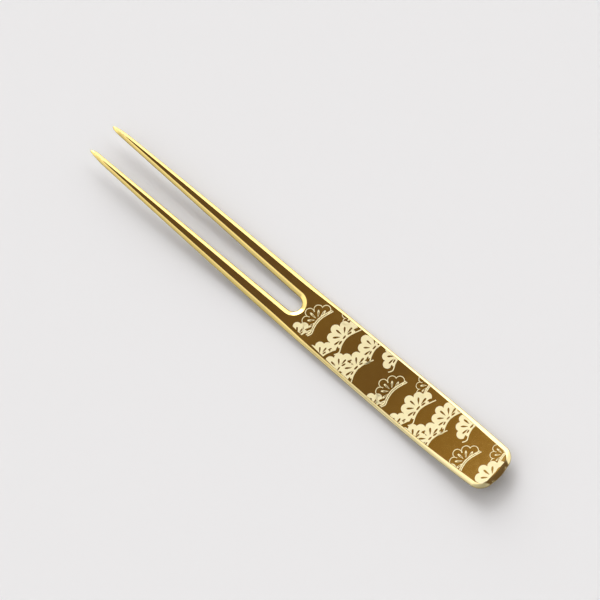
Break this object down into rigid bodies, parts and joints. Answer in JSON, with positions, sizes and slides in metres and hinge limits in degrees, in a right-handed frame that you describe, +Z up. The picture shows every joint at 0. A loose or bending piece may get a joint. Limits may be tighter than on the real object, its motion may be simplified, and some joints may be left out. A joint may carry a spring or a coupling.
{
  "type": "dessert fork",
  "caption": "Slim one-piece dessert fork with long tapering tines, a rounded slot and a flat mirror-gold handle carrying a frosted pine-spray pattern.",
  "frame": {"origin": "centre of the footprint, on the plane that the fork rests on", "axes": "+X along the fork from the tine points to the handle end, +Y across it, +Z up out of the patterned face"},
  "size_m": [0.125, 0.013, 0.0044],
  "materials": {
    "gold_plate": "mirror-polished gold plating",
    "frosted_gold": "frosted pale gold"
  },
  "bodies": {
    "root": {"fork_blank": "gold_plate", "pine_sprays_filled": "frosted_gold", "pine_sprays_outline": "frosted_gold", "pine_twigs": "frosted_gold"}
  },
  "joints": []
}
